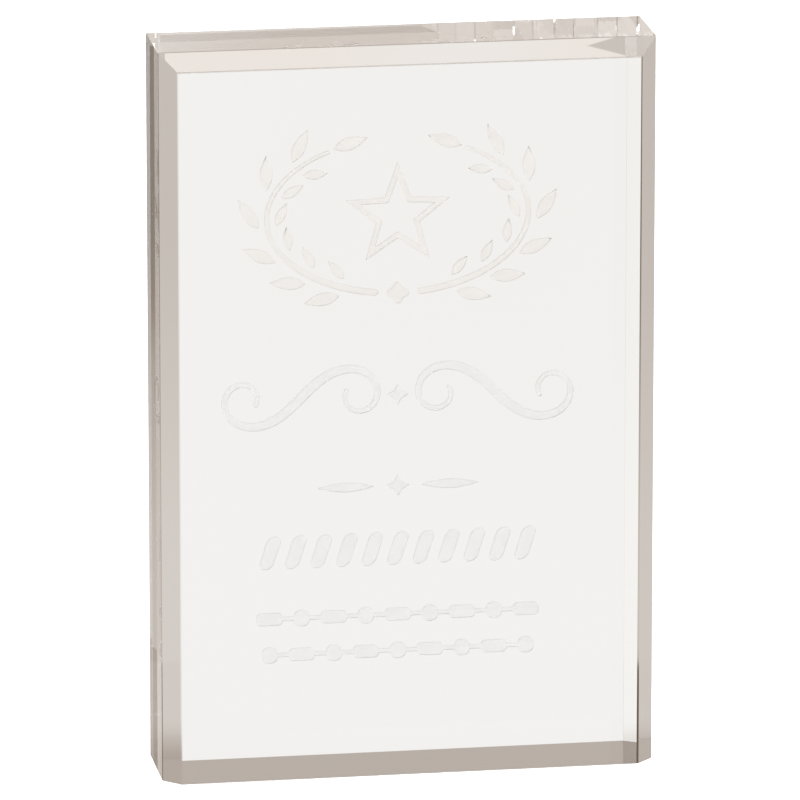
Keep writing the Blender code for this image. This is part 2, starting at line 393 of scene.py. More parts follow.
@dataclass(frozen=True)
class EnamelFinish:
    """Matt, translucent enamel that was wiped into the engraving.

    Attributes:
        name: the material's name, and the record's slot.
        light: colour where the film is full.
        dark: colour where the film is thin.
        roughness: the greatest roughness.
        mottling: how much smoother the mottles are.
        grain: height of the grain, in metres.
    """

    name: str
    light: Colour
    dark: Colour
    roughness: float = 0.38
    mottling: float = 0.10
    grain: float = 15e-6

    def material(self) -> bpy.types.Material:
        """Build the enamel material.

        Returns:
            The material.
        """
        material, graph, shader = empty_material(self.name)
        shader.inputs["Transmission Weight"].default_value = ENAMEL_CLARITY
        shader.inputs["IOR"].default_value = ENAMEL_IOR
        grain = graph.add("ShaderNodeGroup", {"node_tree": SHARED["sanded_grain"]})
        grain.inputs["Dark"].default_value = (*self.dark, 1.0)
        grain.inputs["Light"].default_value = (*self.light, 1.0)
        gloss = graph.math("MULTIPLY_ADD", grain.outputs["Mottle"], -self.mottling, self.roughness)
        bump = graph.add("ShaderNodeBump", Strength=1.0, Distance=self.grain, Height=grain.outputs["Grain"])
        graph.link(grain.outputs["Colour"], shader.inputs["Base Color"])
        graph.link(gloss, shader.inputs["Roughness"])
        graph.link(bump.outputs[0], shader.inputs["Normal"])
        return material


SHARED: dict[str, bpy.types.NodeTree] = {
    "handling_haze": handling_haze_group(),
    "sanded_grain": sanded_grain_group(),
}


# ---------------------------------------------------------------------------------------------
# Outlines: lists of (x, z) vectors, anticlockwise seen from the front
# ---------------------------------------------------------------------------------------------


def polar(angle: float, reach: float) -> Vector:
    """The point at an angle and a distance from the origin."""
    return Vector((math.cos(angle), math.sin(angle))) * reach


def moved(outline: Outline, x: float, z: float) -> Outline:
    """The outline moved by x and z."""
    return [point + Vector((x, z)) for point in outline]


def mirrored(outline: Outline) -> Outline:
    """The outline reflected left to right, still anticlockwise."""
    return [Vector((-point.x, point.y)) for point in reversed(outline)]


def handed(outline: Outline, hand: Hand) -> Outline:
    """A right-hand outline, or its reflection."""
    return outline if hand is Hand.RIGHT else mirrored(outline)


def signed_area(outline: Outline) -> float:
    """The outline's area, positive if it runs anticlockwise."""
    pairs = zip(outline, outline[1:] + outline[:1])
    return sum(a.x * b.y - b.x * a.y for a, b in pairs) / 2


def grown(outline: Outline, margin: float) -> Outline:
    """Move every side of an outline outwards.

    Args:
        outline: the closed outline.
        margin: how far each side moves; negative moves it inwards.

    Returns:
        The new outline, square at its corners.
    """
    count = len(outline)
    sides = [(outline[(i + 1) % count] - outline[i]).normalized() for i in range(count)]
    normals = [Vector((side.y, -side.x)) for side in sides]
    result = []
    for i, point in enumerate(outline):
        before, after = normals[i - 1], normals[i]
        result.append(point + (before + after) * (margin / (1 + before.dot(after))))
    return result


def ribbon(path: Outline, widths: list[float], cap: int = 5) -> Outline:
    """Draw a band along a path, with round ends.

    Args:
        path: the band's centre line.
        widths: its width at each point of the path.
        cap: the number of points that round each end.

    Returns:
        The band's outline.
    """
    right, left = [], []
    for i, point in enumerate(path):
        ahead = path[min(i + 1, len(path) - 1)] - path[max(i - 1, 0)]
        across = Vector((ahead.y, -ahead.x)).normalized() * widths[i] / 2
        right.append(point + across)
        left.append(point - across)
    ends = []
    for tip, before, width in ((path[-1], path[-2], widths[-1]), (path[0], path[1], widths[0])):
        heading = math.atan2((tip - before).y, (tip - before).x)
        turns = [math.pi * ((i + 1) / (cap + 1) - 0.5) for i in range(cap)]
        ends.append([tip + polar(heading + turn, width / 2) for turn in turns])
    return right + ends[0] + left[::-1] + ends[1]


def star(points: int, radius: float, waist: float) -> Outline:
    """Draw a star with one point straight up.

    Args:
        points: the number of points.
        radius: the distance of each point from the centre.
        waist: the distance of the inner corners, as a share of the radius.

    Returns:
        The star's outline.
    """
    reaches = (radius, radius * waist)
    return [polar(math.pi / 2 + math.pi * i / points, reaches[i % 2]) for i in range(2 * points)]


# ---------------------------------------------------------------------------------------------
# Geometry Nodes: the leaves and the bars
# ---------------------------------------------------------------------------------------------


BRANCH_STEPS = 400
LEAF_POINTS = 28
# Below 1, the widest part of a leaf is nearer to its base.
LEAF_FULLNESS = 0.85
BAR_POINTS = 30
# A bar's points at mid height go with its upper half.
NUDGE = 1e-7


def leaves_tree() -> bpy.types.NodeTree:
    """Laurel leaves at even stations along an elliptical branch, as flat faces in the XZ plane.

    Returns:
        A geometry tree. First and Last choose the stations; Offset and Ahead place a leaf's base
        across and along the branch; Spread turns it from the branch's direction.
    """
    lengths = ["Half Width", "Half Height", "Start", "End", "Length", "Width", "Offset", "Ahead", "Spread"]
    inputs = [("Geometry", "NodeSocketGeometry", None)]
    inputs += [(label, "NodeSocketFloat", 0.0) for label in lengths]
    inputs += [(label, "NodeSocketInt", 1) for label in ("Stations", "First", "Last")]
    inputs.append(("Material", "NodeSocketMaterial", None))
    graph, given, result = group_tree(
        "laurel_leaves", "GeometryNodeTree", inputs, [("Geometry", "NodeSocketGeometry")]
    )
    take = given.outputs

    sweep = graph.math("SUBTRACT", take["End"], take["Start"])
    arc = graph.add("GeometryNodeCurveArc", Resolution=BRANCH_STEPS, Radius=1.0, Start_Angle=take["Start"])
    graph.link(sweep, arc.inputs["Sweep Angle"])
    spot = graph.add("ShaderNodeSeparateXYZ", i0=graph.add("GeometryNodeInputPosition").outputs[0])
    wide = graph.math("MULTIPLY", spot.outputs[0], take["Half Width"])
    high = graph.math("MULTIPLY", spot.outputs[1], take["Half Height"])
    oval_point = graph.add("ShaderNodeCombineXYZ", X=wide, Z=high)
    oval = graph.add("GeometryNodeSetPosition", Geometry=arc.outputs[0], Position=oval_point.outputs[0])
    even = graph.add("GeometryNodeResampleCurve", Curve=oval.outputs[0], Count=take["Stations"])
    stations = graph.add("GeometryNodeCurveToPoints", {"mode": "EVALUATED"}, Curve=even.outputs[0])
    run = graph.add("ShaderNodeSeparateXYZ", i0=stations.outputs["Tangent"])
    heading = graph.math("ARCTAN2", run.outputs[2], run.outputs[0])
    turn = graph.math("MULTIPLY", graph.math("ADD", heading, take["Spread"]), -1.0)

    scale = {"operation": "SCALE"}
    back = graph.math("MULTIPLY", run.outputs[2], -1.0)
    inwards = graph.add("ShaderNodeCombineXYZ", X=back, Z=run.outputs[0])
    aside = graph.add("ShaderNodeVectorMath", scale, i0=inwards.outputs[0], Scale=take["Offset"])
    along = graph.add("ShaderNodeVectorMath", scale, i0=stations.outputs["Tangent"], Scale=take["Ahead"])
    shift = graph.add("ShaderNodeVectorMath", {"operation": "ADD"}, i0=aside.outputs[0], i1=along.outputs[0])
    bases = graph.add("GeometryNodeSetPosition", Geometry=stations.outputs[0], Offset=shift.outputs[0])

    index = graph.add("GeometryNodeInputIndex").outputs[0]
    above = graph.math("GREATER_THAN", index, graph.math("SUBTRACT", take["First"], 0.5))
    below = graph.math("LESS_THAN", index, graph.math("ADD", take["Last"], 0.5))
    chosen = graph.math("MULTIPLY", above, below)

    rim = graph.add("GeometryNodeMeshCircle", {"fill_type": "NGON"}, Vertices=LEAF_POINTS, Radius=1.0)
    corner = graph.add("ShaderNodeSeparateXYZ", i0=graph.add("GeometryNodeInputPosition").outputs[0])
    share = graph.math("MULTIPLY_ADD", corner.outputs[0], -0.5, 0.5, clamp=True)
    swell = graph.math("POWER", share, LEAF_FULLNESS)
    belly = graph.math("SINE", graph.math("MULTIPLY", swell, math.pi))
    side = graph.math("SIGN", corner.outputs[1])
    half_width = graph.math("MULTIPLY", take["Width"], 0.5)
    half = graph.math("MULTIPLY", half_width, graph.math("MULTIPLY", belly, side))
    flank = graph.add("ShaderNodeCombineXYZ", X=graph.math("MULTIPLY", share, take["Length"]), Z=half)
    leaf = graph.add("GeometryNodeSetPosition", Geometry=rim.outputs[0], Position=flank.outputs[0])

    spun = graph.add("ShaderNodeCombineXYZ", Y=turn)
    placed = graph.add(
        "GeometryNodeInstanceOnPoints",
        Points=bases.outputs[0],
        Selection=chosen,
        Instance=leaf.outputs[0],
        Rotation=spun.outputs[0],
    )
    real = graph.add("GeometryNodeRealizeInstances", Geometry=placed.outputs[0])
    dressed = graph.add("GeometryNodeSetMaterial", Geometry=real.outputs[0], Material=take["Material"])
    graph.link(dressed.outputs[0], result.inputs[0])
    return graph.tree


def bars_tree() -> bpy.types.NodeTree:
    """A level row of leaning bars with round ends, as flat faces in the XZ plane.

    Returns:
        A geometry tree with inputs Count, Pitch, Width, Height and Slant.
    """
    inputs = [("Geometry", "NodeSocketGeometry", None), ("Count", "NodeSocketInt", 1)]
    inputs += [(label, "NodeSocketFloat", 0.0) for label in ("Pitch", "Width", "Height", "Slant")]
    inputs.append(("Material", "NodeSocketMaterial", None))
    graph, given, result = group_tree(
        "leaning_bars", "GeometryNodeTree", inputs, [("Geometry", "NodeSocketGeometry")]
    )
    take = given.outputs
    gaps = graph.math("SUBTRACT", take["Count"], 1.0)
    first = graph.math("MULTIPLY", graph.math("MULTIPLY", gaps, take["Pitch"]), -0.5)
    start = graph.add("ShaderNodeCombineXYZ", X=first)
    step = graph.add("ShaderNodeCombineXYZ", X=take["Pitch"])
    line = graph.add(
        "GeometryNodeMeshLine", Count=take["Count"], Start_Location=start.outputs[0], Offset=step.outputs[0]
    )
    radius = graph.math("MULTIPLY", take["Width"], 0.5)
    straight = graph.math("SUBTRACT", graph.math("MULTIPLY", take["Height"], 0.5), radius)
    rim = graph.add("GeometryNodeMeshCircle", {"fill_type": "NGON"}, Vertices=BAR_POINTS, Radius=radius)
    corner = graph.add("ShaderNodeSeparateXYZ", i0=graph.add("GeometryNodeInputPosition").outputs[0])
    half = graph.math("SIGN", graph.math("ADD", corner.outputs[1], NUDGE))
    height = graph.math("MULTIPLY_ADD", half, straight, corner.outputs[1])
    lean = graph.math("MULTIPLY_ADD", height, take["Slant"], corner.outputs[0])
    point = graph.add("ShaderNodeCombineXYZ", X=lean, Z=height)
    bar = graph.add("GeometryNodeSetPosition", Geometry=rim.outputs[0], Position=point.outputs[0])
    placed = graph.add("GeometryNodeInstanceOnPoints", Points=line.outputs[0], Instance=bar.outputs[0])
    real = graph.add("GeometryNodeRealizeInstances", Geometry=placed.outputs[0])
    dressed = graph.add("GeometryNodeSetMaterial", Geometry=real.outputs[0], Material=take["Material"])
    graph.link(dressed.outputs[0], result.inputs[0])
    return graph.tree


def plain_mesh(item: bpy.types.Object, name: str) -> bpy.types.Mesh:
    """Turn what an object's modifiers make into a plain mesh, and remove the object.

    Args:
        item: the object with its modifiers.
        name: the new mesh's name.

    Returns:
        The evaluated mesh.
    """
    seen = item.evaluated_get(bpy.context.evaluated_depsgraph_get())
    mesh = bpy.data.meshes.new_from_object(seen)
    mesh.name = name
    bpy.data.objects.remove(item)
    return mesh


def drawn_by(tree: bpy.types.NodeTree, values: dict[str, object]) -> list[Outline]:
    """Run a tree that draws flat faces, and read each face's outline.

    Args:
        tree: the geometry tree.
        values: its inputs, by name.

    Returns:
        One anticlockwise outline for each face.
    """
    item = bpy.data.objects.new(tree.name, bpy.data.meshes.new(tree.name))
    bpy.context.scene.collection.objects.link(item)
    modifier = item.modifiers.new(tree.name, "NODES")
    modifier.node_group = tree
    sockets = {s.name: s.identifier for s in tree.interface.items_tree if s.in_out == "INPUT"}
    for label, value in values.items():
        modifier[sockets[label]] = value
    item.update_tag()
    mesh = plain_mesh(item, tree.name)
    outlines = []
    for face in mesh.polygons:
        points = [mesh.vertices[i].co for i in face.vertices]
        outline = [Vector((point.x, point.z)) for point in points]
        outlines.append(outline if signed_area(outline) > 0 else outline[::-1])
    bpy.data.meshes.remove(mesh)
    return outlines


# ---------------------------------------------------------------------------------------------
# Engraved figures
# ---------------------------------------------------------------------------------------------


@dataclass
class Figure:
    """One engraved figure: the recess in the crystal and the enamel that fills it.

    Attributes:
        node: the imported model's node that the enamel stands for.
        outline: the figure's edge, in the award's own x and z.
        tint: which enamel fills it.
        hole: the edge of the crystal island inside the figure, if it has one.
    """

    node: str
    outline: Outline
    tint: Tint
    hole: Outline | None = None


def middle(node: str) -> Vector:
    """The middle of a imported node's box."""
    low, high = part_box(node)
    return (low + high) / 2


@dataclass
class LaurelEmblem:
    """The star inside two laurel branches.

    Attributes:
        half_width: half the width of the oval that both stems follow.
        half_height: half its height.
        start: the angle on the oval where the right stem starts.
        end: the angle where it ends.
        stem_root: the stem's width at its start.
        stem_end: its width at its end.
        stem_steps: the number of steps along it.
        stem_cap: the number of points that round each end.
        pairs: the pairs of leaves on a branch.
        outer_leaf: an outer leaf's length and width.
        inner_leaf: an inner leaf's length and width.
        leaf_offset: how far a leaf's base stands from the stem's middle.
        outer_spread: how far an outer leaf turns from the stem.
        inner_spread: how far an inner leaf turns from it.
        tip_gap: how far the last leaf stands beyond the stem.
        tip_turn: how far the last leaf turns from it.
        tie_radius: the tie's mean radius.
        tie_lobe: how much further its four lobes reach, as a share of it.
        tie_points: the number of points round it.
        star_points: the number of the star's points.
        star_radius: the distance of each from its centre.
        star_waist: the distance of its inner corners, as a share of that.
        star_band: the width of the band that draws it.
    """

    half_width: float = 27.0 * MM
    half_height: float = 16.2 * MM
    start: float = math.radians(-80.0)
    end: float = math.radians(58.0)
    stem_root: float = 1.3 * MM
    stem_end: float = 0.7 * MM
    stem_steps: int = 48
    stem_cap: int = 3
    pairs: int = 6
    outer_leaf: tuple[float, float] = (7.2 * MM, 2.6 * MM)
    inner_leaf: tuple[float, float] = (5.0 * MM, 1.9 * MM)
    leaf_offset: float = 1.85 * MM
    outer_spread: float = math.radians(27.0)
    inner_spread: float = math.radians(33.0)
    tip_gap: float = 1.3 * MM
    tip_turn: float = math.radians(10.0)
    tie_radius: float = 1.9 * MM
    tie_lobe: float = 0.18
    tie_points: int = 48
    star_points: int = 5
    star_radius: float = 11.2 * MM
    star_waist: float = 0.42
    star_band: float = 1.1 * MM

    def centre_height(self) -> float:
        """The height of the emblem's centre, from the tie at the bottom of the wreath."""
        return middle("wreath_tie").z + self.half_height

    def stem(self) -> Outline:
        """Draw the right-hand stem, tapering towards its end.

        Returns:
            The stem's outline, round the emblem's centre.
        """
        steps = self.stem_steps
        path, widths = [], []
        for i in range(steps + 1):
            angle = self.start + (self.end - self.start) * i / steps
            path.append(Vector((self.half_width * math.cos(angle), self.half_height * math.sin(angle))))
            widths.append(self.stem_root + (self.stem_end - self.stem_root) * i / steps)
        return ribbon(path, widths, cap=self.stem_cap)

    def tie(self) -> Outline:
        """Draw the four-lobed tie at the bottom of the wreath.

        Returns:
            The tie's outline, round its own centre.
        """
        turns = [math.tau * i / self.tie_points for i in range(self.tie_points)]
        reaches = [self.tie_radius * (1 + self.tie_lobe * math.cos(4 * turn)) for turn in turns]
        return [polar(turn + math.pi / 2, reach) for turn, reach in zip(turns, reaches)]

    def leaf_set(
        self, tree: bpy.types.NodeTree, label: str, material: bpy.types.Material
    ) -> dict[str, Outline]:
        """Draw one of the branch's three sets of leaves.

        Args:
            tree: the geometry tree that draws leaves.
            label: outer, inner or tip.
            material: the enamel.

        Returns:
            Each leaf's outline by the end of its node's name.
        """
        length, width = self.inner_leaf if label == "inner" else self.outer_leaf
        offset = {"outer": -self.leaf_offset, "inner": self.leaf_offset, "tip": 0.0}[label]
        spread = {"outer": -self.outer_spread, "inner": self.inner_spread, "tip": self.tip_turn}[label]
        is_tip = label == "tip"
        last = self.pairs + 1
        values = {
            "Half Width": self.half_width,
            "Half Height": self.half_height,
            "Start": self.start,
            "End": self.end,
            "Length": length,
            "Width": width,
            "Offset": offset,
            "Ahead": self.tip_gap if is_tip else 0.0,
            "Spread": spread,
            "Stations": last + 1,
            "First": last if is_tip else 1,
            "Last": last if is_tip else self.pairs,
            "Material": material,
        }
        outlines = drawn_by(tree, values)
        names = ["tip"] if is_tip else [f"{label}_{i + 1}" for i in range(self.pairs)]
        return dict(zip(names, outlines, strict=True))

    def figures(self, enamel: bpy.types.Material) -> list[Figure]:
        """Draw every figure of the emblem.

        Args:
            enamel: the material that the geometry tree's faces carry.

        Returns:
            The star, the tie, and each branch's stem and leaves.
        """
        z = self.centre_height()
        band = moved(star(self.star_points, self.star_radius, self.star_waist), 0.0, z)
        found = [
            Figure("star", band, Tint.EMBLEM, hole=grown(band, -self.star_band)),
            Figure("wreath_tie", moved(self.tie(), 0.0, z - self.half_height), Tint.EMBLEM),
        ]
        tree = leaves_tree()
        leaves: dict[str, Outline] = {}
        for label in ("outer", "inner", "tip"):
            leaves |= self.leaf_set(tree, label, enamel)
        for hand in Hand:
            stem = moved(handed(self.stem(), hand), 0.0, z)
            found.append(Figure(f"wreath_stem_{hand.value}", stem, Tint.EMBLEM))
            for name, leaf in leaves.items():
                shape = moved(handed(leaf, hand), 0.0, z)
                found.append(Figure(f"leaf_{hand.value}_{name}", shape, Tint.EMBLEM))
        return found


@dataclass
class ScrollTitle:
    """Two S-scrolls with a fleuron between them.

    Attributes:
        span: a scroll's length, along its middle line.
        sweep: how far each half of a scroll turns.
        tilt: how far the scroll's middle leans.
        steps: the number of steps along a scroll.
        fine_steps: the number of smaller steps that each of those is worked out in.
        middle_width: the scroll's width in its middle.
        end_width: its width at its ends.
        fleuron_points: the number of the fleuron's points.
        fleuron_radius: the distance of each from its centre.
        fleuron_waist: the distance of its inner corners, as a share of that.
    """

    span: float = 31.6 * MM
    sweep: float = math.radians(345.0)
    tilt: float = -math.pi / 4
    steps: int = 120
    fine_steps: int = 8
    middle_width: float = 2.0 * MM
    end_width: float = 0.9 * MM
    fleuron_points: int = 4
    fleuron_radius: float = 2.2 * MM
    fleuron_waist: float = 0.5

    def scroll(self) -> Outline:
        """Draw a scroll on its side, whose curvature grows evenly from its middle to both ends.

        Returns:
            The scroll's outline, round its own centre.
        """
        point = Vector((0.0, 0.0))
        half = [point.copy()]
        count = self.steps // 2 * self.fine_steps
        for step in range(count):
            share = (step + 0.5) / count
            point = point + polar(self.sweep * share * share, 1.0)
            if (step + 1) % self.fine_steps == 0:
                half.append(point.copy())
        spin = Matrix.Rotation(self.tilt, 2)
        path = [spin @ p for p in [-q for q in half[:0:-1]] + half]
        scale = self.span / (max(p.x for p in path) - min(p.x for p in path))
        swell = self.middle_width - self.end_width
        last = len(path) - 1
        widths = [self.end_width + swell * math.sin(math.pi * i / last) ** 2 for i in range(last + 1)]
        return ribbon([p * scale for p in path], widths)

    def figures(self) -> list[Figure]:
        """Draw both scrolls and the fleuron.

        Returns:
            The three figures.
        """
        z = middle("title_fleuron").z
        right = moved(self.scroll(), middle("title_scroll_right").x, z)
        fleuron = moved(star(self.fleuron_points, self.fleuron_radius, self.fleuron_waist), 0.0, z)
        found = [Figure("title_fleuron", fleuron, Tint.LETTER)]
        for hand in Hand:
            found.append(Figure(f"title_scroll_{hand.value}", handed(right, hand), Tint.LETTER))
        return found


@dataclass
class SubtitleOrnament:
    """A small fleuron between two tapered dashes.

    Attributes:
        dash_length: a dash's length.
        dash_width: its width in its middle.
        fleuron_points: the number of the fleuron's points.
        fleuron_radius: the distance of each from its centre.
        fleuron_waist: the distance of its inner corners, as a share of that.
        steps: the number of steps along each flank of a dash.
    """

    dash_length: float = 11.6 * MM
    dash_width: float = 1.9 * MM
    fleuron_points: int = 4
    fleuron_radius: float = 2.3 * MM
    fleuron_waist: float = 0.5
    steps: int = 20

    def dash(self) -> Outline:
        """Draw a long lozenge with rounded flanks.

        Returns:
            The dash's outline, round its own centre.
        """
        xs = [self.dash_length * (i / self.steps - 0.5) for i in range(self.steps + 1)]
        lower = [Vector((x, -self.dash_width / 2 * math.cos(math.pi * x / self.dash_length))) for x in xs]
        upper = [Vector((point.x, -point.y)) for point in lower[1:-1]]
        return lower + upper[::-1]

    def figures(self) -> list[Figure]:
        """Draw the fleuron and both dashes.

        Returns:
            The three figures.
        """
        z = middle("subtitle_fleuron").z
        fleuron = moved(star(self.fleuron_points, self.fleuron_radius, self.fleuron_waist), 0.0, z)
        found = [Figure("subtitle_fleuron", fleuron, Tint.LETTER)]
        for hand in Hand:
            node = f"subtitle_dash_{hand.value}"
            found.append(Figure(node, moved(self.dash(), middle(node).x, z), Tint.LETTER))
        return found


@dataclass
class NameRow:
    """A row of leaning bars.

    Attributes:
        count: the number of bars.
        pitch: the distance from one bar to the next.
        width: a bar's width.
        height: its height.
        slant: how far it leans, as a share of its height.
    """

    count: int = 11
    pitch: float = 5.3 * MM
    width: float = 2.9 * MM
    height: float = 7.0 * MM
    slant: float = 0.32

    def figures(self, enamel: bpy.types.Material) -> list[Figure]:
        """Draw every bar of the row.

        Args:
            enamel: the material that the geometry tree's faces carry.

        Returns:
            The bars, from left to right.
        """
        values = {
            "Count": self.count,
            "Pitch": self.pitch,
            "Width": self.width,
            "Height": self.height,
            "Slant": self.slant,
            "Material": enamel,
        }
        bars = drawn_by(bars_tree(), values)
        bars.sort(key=lambda outline: outline[0].x)
        names = [f"name_bar_{i + 1:02d}" for i in range(self.count)]
        z = middle(names[0]).z
        pairs = zip(names, bars, strict=True)
        return [Figure(name, moved(bar, 0.0, z), Tint.LETTER) for name, bar in pairs]


@dataclass(frozen=True)
class Swell:
    """One swell of a rule.

    Attributes:
        reach: half its length, as a share of the distance between swells.
        flat: half the length of its level top, as a share of the same.
        height: its height, as a share of the greatest.
    """

    reach: float
    flat: float
    height: float


@dataclass
class MessageRules:
    """Two thin rules that swell into alternate beads and reels.

    Attributes:
        length: a rule's length.
        thin: its height between swells.
        swells: the number of swells.
        thick: the greatest height.
        reel: the long, level swell.
        bead: the short, round swell.
        steps: the number of steps from a swell's end to its middle.
    """

    length: float = 60.0 * MM
    thin: float = 0.8 * MM
    swells: int = 9
    thick: float = 3.4 * MM
    reel: Swell = Swell(reach=0.40, flat=0.26, height=0.78)
    bead: Swell = Swell(reach=0.24, flat=0.02, height=1.0)
    steps: int = 8

    def height_at(self, x: float, swell: Swell) -> float:
        """Work out the rule's height at one place.

        Args:
            x: distance along the rule from the swell's middle.
            swell: the swell that it crosses there.

        Returns:
            The full height of the rule there.
        """
        pitch = self.length / self.swells
        reach = pitch * swell.reach
        flat = pitch * swell.flat
        top = self.thick * swell.height
        fall = min(max((abs(x) - flat) / (reach - flat), 0.0), 1.0)
        return self.thin + (top - self.thin) * math.sqrt(1 - fall * fall)

    def rule(self, shift: int) -> Outline:
        """Draw one rule.

        Args:
            shift: 0 where the row starts with a reel, 1 where it starts with a bead.

        Returns:
            The rule's outline, round its own centre.
        """
        pitch = self.length / self.swells
        profile: list[Span] = []
        for place in range(self.swells):
            swell = self.reel if (place + shift) % 2 == 0 else self.bead
            centre = (place + 0.5) * pitch - self.length / 2
            reach = pitch * swell.reach
            for i in range(2 * self.steps + 1):
                x = -reach * math.cos(math.pi * i / (2 * self.steps))
                profile.append((centre + x, self.height_at(x, swell)))
        lower = [Vector((x, -height / 2)) for x, height in profile]
        upper = [Vector((x, height / 2)) for x, height in profile]
        return lower + upper[::-1]

    def figures(self) -> list[Figure]:
        """Draw both rules.

        Returns:
            The upper rule and the lower one.
        """
        found = []
        for shift, place in enumerate(("upper", "lower")):
            node = f"message_rule_{place}"
            found.append(Figure(node, moved(self.rule(shift), 0.0, middle(node).z), Tint.LETTER))
        return found


# ---------------------------------------------------------------------------------------------
# Solids
# ---------------------------------------------------------------------------------------------


def ring(bm: bmesh.types.BMesh, outline: Outline, y: float) -> list[bmesh.types.BMVert]:
    """Add an outline's points at one depth."""
    return [bm.verts.new((point.x, y, point.y)) for point in outline]


def join_rings(bm: bmesh.types.BMesh, near: list[bmesh.types.BMVert], far: list[bmesh.types.BMVert]) -> None:
    """Join two rings of the same length with quads.

    Args:
        bm: the mesh that both rings are in.
        near: the first ring's points.
        far: the second ring's points, in the same order.
    """
    count = len(near)
    for i in range(count):
        bm.faces.new((near[i], near[(i + 1) % count], far[(i + 1) % count], far[i]))


def lofted(name: str, levels: list[tuple[float, Outline, Outline | None]]) -> bpy.types.Mesh:
    """Make a closed solid from outlines at rising depths.

    Args:
        name: the mesh's name.
        levels: each level's depth, outline and hole. All outlines have the same number of points,
            and either all levels have a hole of that same number or none has.

    Returns:
        The mesh, with its faces outwards.
    """
    bm = bmesh.new()
    rims = [ring(bm, outline, y) for y, outline, _ in levels]
    bores = [ring(bm, hole, y) for y, _, hole in levels if hole]
    for near, far in zip(rims, rims[1:]):
        join_rings(bm, near, far)
    for near, far in zip(bores, bores[1:]):
        join_rings(bm, near, far)
    if bores:
        join_rings(bm, rims[0], bores[0])
        join_rings(bm, rims[-1], bores[-1])
    else:
        bm.faces.new(rims[0])
        bm.faces.new(rims[-1][::-1])
    bmesh.ops.recalc_face_normals(bm, faces=bm.faces)
    mesh = bpy.data.meshes.new(name)
    bm.to_mesh(mesh)
    bm.free()
    return mesh


def show(name: str, mesh: bpy.types.Mesh) -> bpy.types.Object:
    """Link a new object for a mesh.

    Args:
        name: the object's name.
        mesh: its mesh.

    Returns:
        The object, at the origin.
    """
    item = bpy.data.objects.new(name, mesh)
    bpy.context.scene.collection.objects.link(item)
    return item


@dataclass
class EnamelFill:
    """The enamel bodies, one for each figure.

    Attributes:
        rim: how far the rear face's rim is drawn in.
        dome: how far the body's flank stops short of its rear face.
        crease: the angle past which an edge stays sharp.
        finishes: the material of each tint.
    """

    rim: float = 0.10 * MM
    dome: float = 0.05 * MM
    crease: float = math.radians(30.0)
    finishes: dict[Tint, bpy.types.Material] = field(default_factory=dict)

    def build(self, figure: Figure) -> bpy.types.Object:
        """Make one figure's enamel, slightly domed behind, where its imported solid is.

        Args:
            figure: the figure to fill.

        Returns:
            The finished piece.
        """
        low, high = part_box(figure.node)
        levels = []
        for y, inset in ((low.y, 0.0), (high.y - self.dome, 0.0), (high.y, self.rim)):
            hole = grown(figure.hole, inset) if figure.hole else None
            levels.append((y, grown(figure.outline, -inset), hole))
        mesh = lofted(f"enamel_{figure.node}", levels)
        mesh.shade_smooth()
        mesh.set_sharp_from_angle(angle=self.crease)
        mesh.materials.append(self.finishes[figure.tint])
        piece = show(f"enamel_{figure.node}", mesh)
        piece.visible_glossy = False
        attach(piece, ROOT)
        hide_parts(figure.node)
        log.info("%s: %d faces", piece.name, len(mesh.polygons))
        return piece


